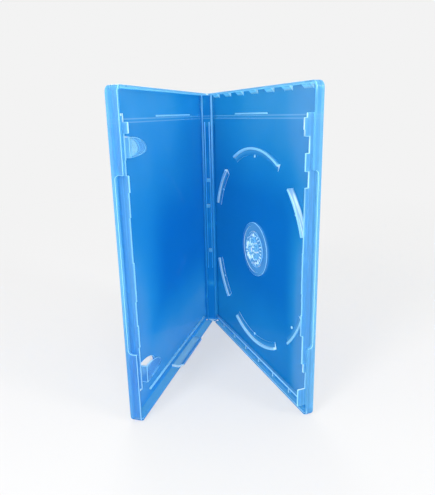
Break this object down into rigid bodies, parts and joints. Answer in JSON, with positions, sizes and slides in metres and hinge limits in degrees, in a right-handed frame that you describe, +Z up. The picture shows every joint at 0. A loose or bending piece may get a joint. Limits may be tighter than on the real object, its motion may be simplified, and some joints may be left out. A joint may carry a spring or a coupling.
{
  "type": "game disc case",
  "caption": "Slim blue moulded disc case standing half open, with a press hub for one disc, booklet clips, living hinges and a clear outer film pocket.",
  "frame": {"origin": "on the foot of the back cover, on the surface that the case stands on, under the middle of the disc hub", "axes": "+Z up along the spine, +X out through the back cover's outer face, -Y from the spine to the back cover's free edge"},
  "size_m": [0.0918, 0.1392, 0.171],
  "materials": {
    "blue_plastic": "glossy translucent blue polypropylene",
    "clear_film": "clear glossy film"
  },
  "bodies": {
    "back_cover": {"back_cover": "blue_plastic", "sleeve_back": "clear_film"},
    "spine": {"spine": "blue_plastic", "front_hinge_web": "blue_plastic", "back_hinge_web": "blue_plastic", "sleeve_front_bend": "clear_film", "sleeve_spine": "clear_film", "sleeve_back_bend": "clear_film"},
    "front_cover": {"front_cover": "blue_plastic", "sleeve_front": "clear_film"},
    "disc_hub": {"disc_hub": "blue_plastic"}
  },
  "joints": [
    {"name": "back_hinge", "type": "hinge", "parent": "back_cover", "child": "spine", "pos_m": [0.0017, 0.0675, 0], "axis": [0, 0, -1], "range_deg": [-30, 60], "deforming": ["back_hinge_web", "sleeve_back_bend"]},
    {"name": "front_hinge", "type": "hinge", "parent": "spine", "child": "front_cover", "pos_m": [-0.00696, 0.0725, 0], "axis": [0, 0, -1], "range_deg": [-8, 82], "deforming": ["front_hinge_web", "sleeve_front_bend"]},
    {"name": "hub_press", "type": "slide", "parent": "back_cover", "child": "disc_hub", "axis": [1, 0, 0], "range_m": [0, 0.0009], "stiffness_N_per_m": 3000}
  ]
}
